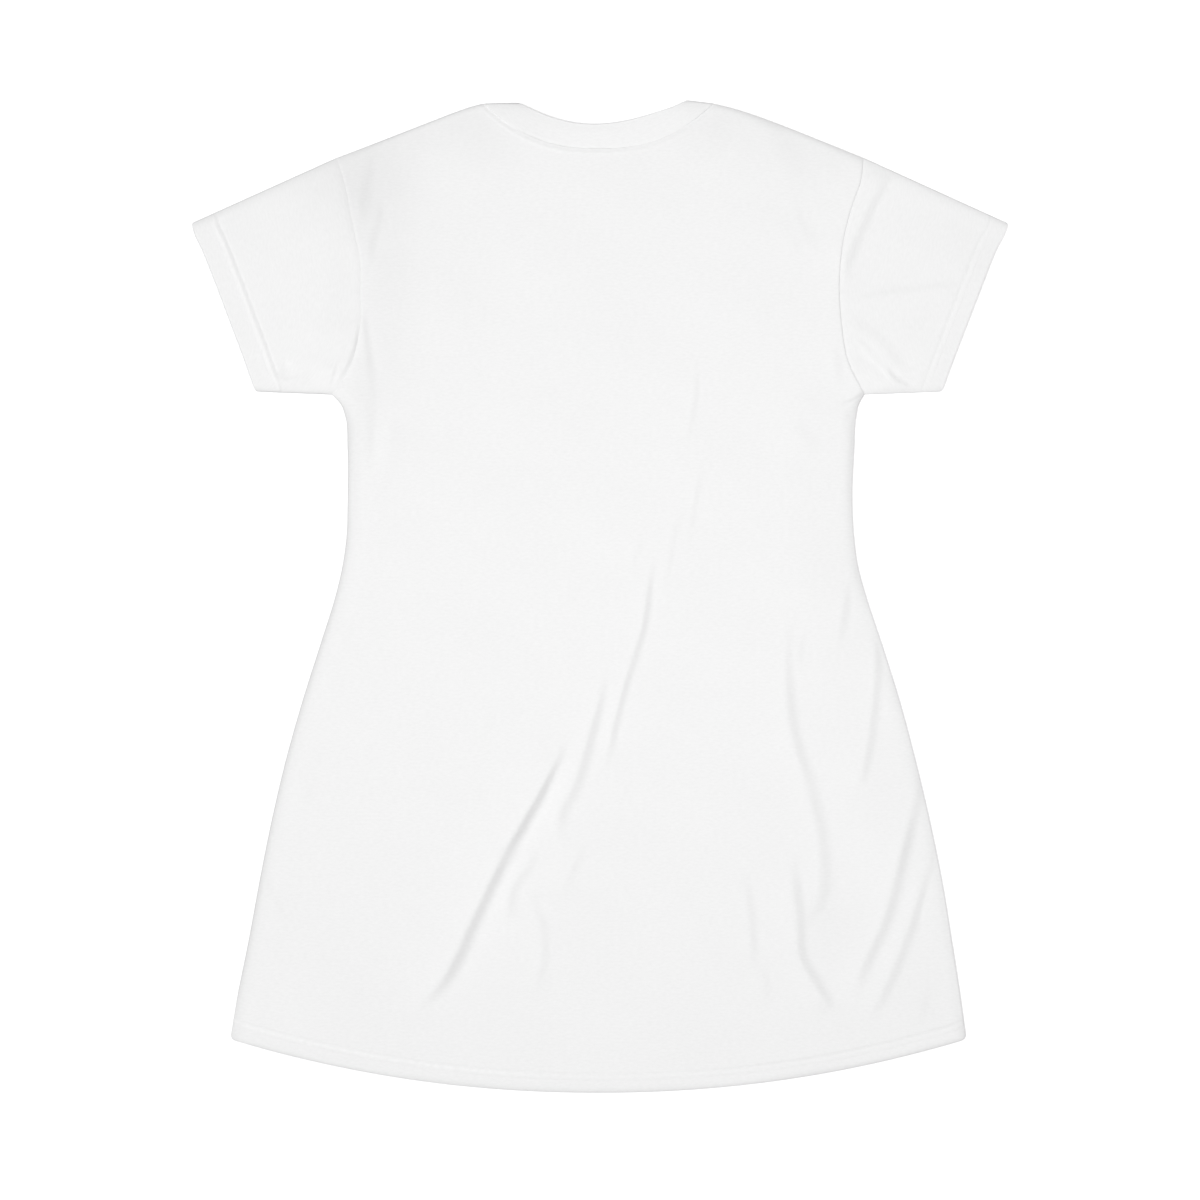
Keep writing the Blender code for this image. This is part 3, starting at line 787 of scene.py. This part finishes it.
sleeve = {
    "left": {
        "cuff": ((0.3638, 0.1065), (0.307, 0.2565)), "rows": (0.0162, 0.0236), "ridge": 0.0006,
        "grooves": (0.0001, 0.0004), "lift": 0.001, "drop": 0.0012, "painted highlight": 0.022, "hem shade": 0.0,
        "hollow": metres([-0.4, -1, 0.1, 0.7, 0.9, 0.9, 0.8, 0.3, 0]),
    },
    "right": {
        "cuff": ((0.3635, 0.1069), (0.3046, 0.2565)), "rows": (0.012, 0.017), "ridge": 0.0,
        "grooves": (0.0, 0.0004), "lift": 0.0003, "drop": 0.0028, "painted highlight": 0.005, "hem shade": 0.034,
        "hollow": metres([-0.5, -0.3, 1.1, 1.7, 1.6, 1.3, 1, 0.7, 0]),
    },
    "shares": [0, 0.08, 0.15, 0.25, 0.4, 0.6, 0.8, 0.9, 1],  # where on the cuff its hollow is given
    "length": 0.14, "round": 0.002, "plain rows": 72,
    "stitched": (0.025, 0.011, 13),  # the finer rows: from and to, measured from the cuff, and how many
    "pale wide": 0.0016, "shade wide": 0.0009,
    "low end": 0.0006, "low end reach": 0.0015,  # the underside's lift at the seam and the cuff
    "grain round": 0.32,  # once round the tube
    "search": slice(None, -50, -1), "trim": 8,  # the mesh's rows and columns for the thread
}


def sleevePlan(hand, scoop):
    tip, own = shoulder["tip"], sleeve[sideName(hand)]
    across = (armLevels - tip) / (underarm - tip)
    insets = edgeInsets / sleeve["length"]
    stitched = 1 - np.linspace(*sleeve["stitched"]) / sleeve["length"]
    along = np.concatenate([insets, np.linspace(insets[-1], stitched[0], sleeve["plain rows"])[1:],
                            stitched[1:], 1 - insets[::-1]])
    c, a = across[None, :], along[:, None]
    (topX, topDown), (lowX, lowDown) = own["cuff"]

    def ends(c):
        level = mix(tip, underarm, c)
        startX = hand * bodyEdge(level, hand) - scoop * np.sin(np.pi * c) + seamGap
        return startX, level, mix(topX, lowX, c), mix(topDown, lowDown, c)

    startX, level, cuffX, cuffDown = ends(c)
    width = math.hypot(topX - lowX, topDown - lowDown)
    length = np.hypot(cuffX - startX, cuffDown - level)
    inwards, back = cornerCuts(np.minimum(c, 1 - c) * width, (1 - a) * length, sleeve["round"])
    a = a - back / length
    c = c + np.where(c < 0.5, inwards, -inwards) / width
    startX, level, cuffX, cuffDown = ends(c)
    a = a * (1 - curveThrough(c, sleeve["shares"], own["hollow"]) / length)
    x, down = mix(startX, cuffX, a), mix(level, cuffDown, a)
    return hand * x, down, a * length, c * width


def buildSleeve(name, hand):
    word = sideName(hand)
    own = sleeve[word]
    rows = own["rows"]
    x, down, u, v = sleevePlan(hand, 0.0)
    top, bottom = rim(x, down, every, 0), rim(x, down, every, -1)
    toCuff = toRim(x, down, -1, every)
    toSeam = toRim(x, down, 0, every)
    extra = hemRidge(toCuff, rows, own["ridge"], own["grooves"])
    extra = extra - own["lift"] * (1 - rounded(toCuff, own["drop"]))
    kinds = [(edges[word + " sleeve top"], top), (edges[word + " underarm"], bottom)]
    height, shade = upperHeight(x, down, kinds, [(word + " sleeve", toSeam)], extra)
    # painted highlight between the cuff's stitched rows, and painted shade along the inner row
    shade = shade - own["painted highlight"] * bell(toCuff - sum(rows) / 2, sleeve["pale wide"])
    shade = shade + own["hem shade"] * bell(toCuff - rows[1], sleeve["shade wide"])
    upper = onGround(x, down, foldTop + height)

    lowX, lowDown, lowU, lowV = sleevePlan(hand, armhole["front scoop"])
    lowCuff = toRim(lowX, lowDown, -1, every)
    lowSeam = toRim(lowX, lowDown, 0, every)
    lowLoose = np.minimum(distanceTo(lowX, lowDown, top), distanceTo(lowX, lowDown, bottom))
    edge = rounded(lowLoose, stack["low reach"])
    ends = 1 - rounded(np.minimum(lowCuff, lowSeam), sleeve["low end reach"])
    lowZ = stack["fold"] * (1 - edge) + (sleeve["low end"] * ends + hollow(lowX, lowDown)) * edge
    lower = onGround(lowX, lowDown, lowZ + lowRidge(lowCuff, rows))
    low = sleeve["search"]
    for place in rows:
        for points, away in ((upper, toCuff), (lower, lowCuff)):
            layThread(word + "Cuff", points[low], away[low], place, sleeve["trim"])

    points = np.concatenate([upper, lower[:, -2:0:-1]], axis=1)
    lowGrain = np.stack([sleeve["grain round"] - lowV, lowU], axis=-1)[:, -2::-1]
    grain = np.concatenate([np.stack([v, u], axis=-1), lowGrain], axis=1)
    shade = np.concatenate([shade, np.zeros(lowX[:, -2:0:-1].shape)], axis=1)
    return thicken(gridMesh(name, points, grain, shade, closeColumns=True, flip=hand < 0))


sleeveLeft = buildSleeve("sleeveLeft", -1)
sleeveRight = buildSleeve("sleeveRight", 1)
print("sleeves made:", len(sleeveLeft.data.polygons), "faces each")


# The neck band, a strip folded lengthwise and sewn in as a ring

band = {
    "half": 0.0745, "middle": 0.002, "skew": 0.0075, "back depth": 0.0184, "front depth": 0.0845,
    "back power": 2.5, "front power": 1.2, "thick": 0.0019, "stack": 0.0044, "gap": 0.0002,
    "left rise": 0.0008, "right rise": 0.003, "rise ends": 5,  # of the back's edge, in its outer fifths
    "dip": 0.0002, "dip reach": 0.0036,  # beside the seam
    "edge": 0.6, "taper": 0.006,  # the folded edge is thinner, by this share over this reach
    "fold": 1.3,  # how long its round is, as a share of its height
    "slit": (0.0012, 0.001),  # where the slit between the layers narrows and ends, from the folded edge
    "points": (9, 10, 6, 5, 9),  # round the fold, on top, in the dip, on each side of the slit and below
    "turns": 14, "turn reach": 0.3, "press": 0.62, "press reach": 0.6,  # where it goes over the shoulders
    "shade": 0.008, "end shades": ((-0.025, -0.075, 0.024), (0.06, 0.09, 0.012)),  # painted shade, a little all over and towards the ends from x to x by the amount
    # painted highlight where the band turns over the shoulders and on its folded edge
    "turn painted highlight": 0.14, "fold painted highlight": 0.03,
}


def bandFree(angle, name):  # the band's folded edge
    s = np.maximum(0.0, np.sin(angle))
    x = band["middle"] - np.cos(angle) * band["half"] - band["skew"] * s * s
    return x, band[name + " depth"] * s ** band[name + " power"]


def bandProfile(length):
    # a cut across the strip, as (distance from the seam, height), from the fold's underside up over its
    # top to the seam, in between the two layers and back below
    half, inside = band["thick"] / 2, band["gap"] / 2
    end = half * band["edge"]
    fold = end * band["fold"]
    narrow, tip = (length - away for away in band["slit"])
    folded, above, dipped, slit, below = band["points"]
    dips = np.linspace(band["dip reach"], 0.0, dipped)

    def top(s):
        return mix(end, half, smooth((length - fold - s) / band["taper"]))

    bends = np.linspace(-1.57, 1.57, folded)
    profile = [(length - fold * (1 - math.cos(a)), end * math.sin(a)) for a in bends]
    profile += [(s, top(s)) for s in np.linspace(length - fold, dips[0], above)[1:-1]]
    profile += [(s, top(s) - band["dip"] * (1 - s / dips[0]) ** 2) for s in dips]
    profile += [(s, inside) for s in np.linspace(0.0, narrow, slit)]
    profile.append((tip, 0.0))
    profile += [(s, -inside) for s in np.linspace(narrow, 0.0, slit)]
    profile += [(s, -top(s)) for s in np.linspace(0.0, length - fold, below)[:-1]]
    return profile


def bandSection(seam, free, turn, press):
    # the profile turned up from the floor: by 90 degrees on the back and -90 in front
    axis = band["stack"] / 2
    core = axis - band["thick"] / 2
    up, out = math.sin(turn), math.cos(turn)
    length = math.hypot(free[0] - seam[0], free[1] - seam[1])
    ring, across = [], []
    for s, off in bandProfile(length):
        x, down = mix(seam[0], free[0], s / length), mix(seam[1], free[1], s / length)
        reach = core + off
        ring.append((x, topY - (down - out * reach * band["turn reach"]), (axis + up * reach) * press))
        across.append(s if off > 0 else -s)
    return ring, across


def buildBand():
    axis = band["stack"] / 2 * band["turn reach"]
    sections, overTurn = [], []
    for name, count, sign in (("back", backMesh["neck"], 1), ("front", frontMesh["neck"], -1)):
        for angle in np.linspace(0, math.pi, count)[2:-2][::sign]:
            seam, free = neckSeam(angle, name, seamGap), bandFree(angle, name)
            along, ends = angle / math.pi * band["rise ends"], band["rise ends"]
            rise = band["left rise"] * smooth(1 - along) + band["right rise"] * smooth(along + 1 - ends)
            seam, free = (seam[0], max(seam[1], axis)), (free[0], max(free[1], axis) - rise * (sign > 0))
            press = mix(band["press"], 1.0, smooth(math.sin(angle) / band["press reach"]))
            sections.append(bandSection(seam, free, sign * math.pi / 2, press))
            overTurn.append(0.0)
        for t in np.linspace(90, -90, band["turns"] + 2)[1:-1]:  # over the shoulder
            rise = band["right rise" if sign > 0 else "left rise"]
            end = (band["middle"] + sign * band["half"], axis - rise)
            sections.append(bandSection((seam[0], axis), end, sign * math.radians(t), band["press"]))
            overTurn.append(math.cos(math.radians(t)))
    points, widths = (np.array(part) for part in zip(*sections))
    middle = points.mean(axis=1)
    run = np.concatenate([[0], np.cumsum(np.linalg.norm(np.diff(middle, axis=0), axis=1))])
    grain = np.stack([np.repeat(run[:, None], points.shape[1], axis=1), widths], axis=-1)
    grain = np.concatenate([grain, grain[:, :1]], axis=1)
    grain = np.concatenate([grain, grain[:1]], axis=0)
    # painted light on the turns and the folded edge, and painted shade all over and towards the ends
    shade = band["shade"] - band["turn painted highlight"] * np.array(overTurn)[:, None]
    for start, end, amount in band["end shades"]:
        shade = shade + amount * ramp(points[:, :, 0], start, end)
    shade[:, :band["points"][0]] -= band["fold painted highlight"]
    return gridMesh("neckBand", points, grain, shade, closeRows=True, closeColumns=True)


neckBand = buildBand()
print("band made:", len(neckBand.data.polygons), "faces")


# Materials: the knit follows the cloth through the grain UV map, which is in metres

jerseyLook = {
    "colour": (0.87, 0.87, 0.87), "roughness": 0.9,
    "streak": (0.0042, 0.0018), "streak depth": 0.037, "streak detail": 1.0,  # along and across the rows
    "mottle": (0.014, 0.014), "mottle depth": 0.008, "mottle detail": 2.0,
    "stitch": (0.0008, 0.00065), "bump": 0.00003, "bump strength": 0.5,
}
bandLook = dict(jerseyLook, colour=(0.88, 0.88, 0.88), roughness=0.88)
threadLook = {"colour": (0.86, 0.86, 0.86), "roughness": 0.6}


def knitMaterial(name, look):
    material, shader = newMaterial(name, look)
    tree = material.node_tree
    grain = addNode(tree, "UVMap", uv_map="grain").outputs["UV"]

    def noise(kind):
        depth = look[kind + " depth"]
        scaled = addNode(tree, "VectorMath", {0: grain, 1: (*look[kind], 1)}, operation="DIVIDE")
        texture = addNode(tree, "TexNoise", {
            "Vector": scaled.outputs[0], "Scale": 1.0, "Detail": look[kind + " detail"]})
        limits = addNode(tree, "MapRange", {
            "Value": texture.outputs["Fac"], "To Min": 1 - depth, "To Max": 1 + depth}, clamp=False)
        return limits.outputs["Result"]

    def calculate(kind, *values):
        return addNode(tree, "Math", enumerate(values), operation=kind).outputs[0]

    # painted shade and painted light from the shade attribute scale the colour
    shade = addNode(tree, "Attribute", attribute_name="shade")
    light = calculate("SUBTRACT", 1.0, shade.outputs["Fac"])
    tone = calculate("MULTIPLY", calculate("MULTIPLY", noise("streak"), noise("mottle")), light)
    colour = addNode(tree, "VectorMath", {0: look["colour"], "Scale": tone}, operation="SCALE")

    # the loops of the knit: columns of small Vs
    place = addNode(tree, "SeparateXYZ", {0: grain})
    wale = calculate("DIVIDE", place.outputs["X"], look["stitch"][0])
    course = calculate("DIVIDE", place.outputs["Y"], look["stitch"][1])
    slanted = calculate("ADD", course, calculate("PINGPONG", wale, 0.5))
    ribs = calculate("SINE", calculate("MULTIPLY", wale, 2 * math.pi))
    loops = calculate("SINE", calculate("MULTIPLY", slanted, 2 * math.pi))
    bump = addNode(tree, "Bump", {
        "Height": calculate("ADD", ribs, loops), "Distance": look["bump"], "Strength": look["bump strength"]})
    fill(shader, {"Base Color": colour.outputs[0], "Normal": bump.outputs["Normal"]})
    return material


whiteJersey = knitMaterial("whiteJersey", jerseyLook)
bandJersey = knitMaterial("bandJersey", bandLook)
whiteThread = newMaterial("whiteThread", threadLook)[0]
for piece in (backPanel, frontPanel, sleeveLeft, sleeveRight):
    piece.data.materials.append(whiteJersey)
neckBand.data.materials.append(bandJersey)
print("materials ready")


# The rows of stitches, laid along lines on the cloth by Geometry Nodes

stitch = {"Pitch": 0.0028, "Length": 0.0023, "Width": 0.00045, "Height": 0.00028, "Seed": 7,
          "Thread": whiteThread}
bead = {"Segments": 6, "Rings": 4, "Radius": 0.5}
unevenSize = (0.9, 1.08)


def stitchTree():
    tree = bpy.data.node_groups.new("stitchRow", "GeometryNodeTree")
    for name, kind in zip(("Geometry", *stitch), ("Geometry", *["Float"] * 4, "Int", "Material")):
        tree.interface.new_socket(name, in_out="INPUT", socket_type="NodeSocket" + kind)
    tree.interface.new_socket("Geometry", in_out="OUTPUT", socket_type="NodeSocketGeometry")
    given = addNode(tree, "NodeGroupInput").outputs
    line = addNode(tree, "MeshToCurve", {0: given["Geometry"]})
    dots = addNode(tree, "CurveToPoints", {0: line.outputs[0], "Length": given["Pitch"]},
                   mode="LENGTH").outputs
    turn = addNode(tree, "FunctionNodeAlignRotationToVector", {"Vector": dots["Tangent"]}, axis="X")
    ball = addNode(tree, "MeshUVSphere", bead)
    soft = addNode(tree, "SetShadeSmooth", {"Geometry": ball.outputs["Mesh"]})
    size = addNode(tree, "ShaderNodeCombineXYZ", {
        "X": given["Length"], "Y": given["Width"], "Z": given["Height"]})
    uneven = addNode(tree, "FunctionNodeRandomValue", {
        2: unevenSize[0], 3: unevenSize[1], "Seed": given["Seed"]})
    scaled = addNode(tree, "ShaderNodeVectorMath", {0: size.outputs[0], "Scale": uneven.outputs[1]},
                     operation="SCALE")
    copies = addNode(tree, "InstanceOnPoints", {
        "Points": dots["Points"], "Instance": soft.outputs[0], "Rotation": turn.outputs[0],
        "Scale": scaled.outputs[0]})
    real = addNode(tree, "RealizeInstances", {0: copies.outputs[0]})
    dress = addNode(tree, "SetMaterial", {
        "Geometry": real.outputs[0], "Material": given["Thread"]})
    addNode(tree, "NodeGroupOutput", {0: dress.outputs[0]})
    return tree


stitchRow = stitchTree()


def sew(name, lines):
    points, runs = [], []
    for line in lines:
        runs += [(len(points) + k, len(points) + k + 1) for k in range(len(line) - 1)]
        points += line
    guide = bpy.data.meshes.new(name + "Guide")
    guide.from_pydata(points, runs, [])
    holder = addObject(name + "Guide", guide)
    rows = holder.modifiers.new("stitches", "NODES")
    rows.node_group = stitchRow
    for item in stitchRow.interface.items_tree:
        if item.in_out == "INPUT" and item.name in stitch:
            rows[item.identifier] = stitch[item.name]
    seen = holder.evaluated_get(bpy.context.evaluated_depsgraph_get())
    mesh = bpy.data.meshes.new_from_object(seen)
    mesh.name = name
    bpy.data.objects.remove(holder)
    return addObject(name, mesh)


stitches = {name: sew(name + "Stitches", lines) for name, lines in threadRows.items()}
print("stitches made:", sum(len(row.data.polygons) for row in stitches.values()), "faces")


# How the pieces stand in the frame

for piece, node, slot in (
    (backPanel, "back_panel", "jersey"),
    (frontPanel, "front_panel", "jersey"),
    (sleeveLeft, "sleeve_left", "jersey"),
    (sleeveRight, "sleeve_right", "jersey"),
    (neckBand, "neck_band", "band_jersey"),
):
    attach(piece, "root")
    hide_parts(node)
for row in stitches.values():
    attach(row, "root")
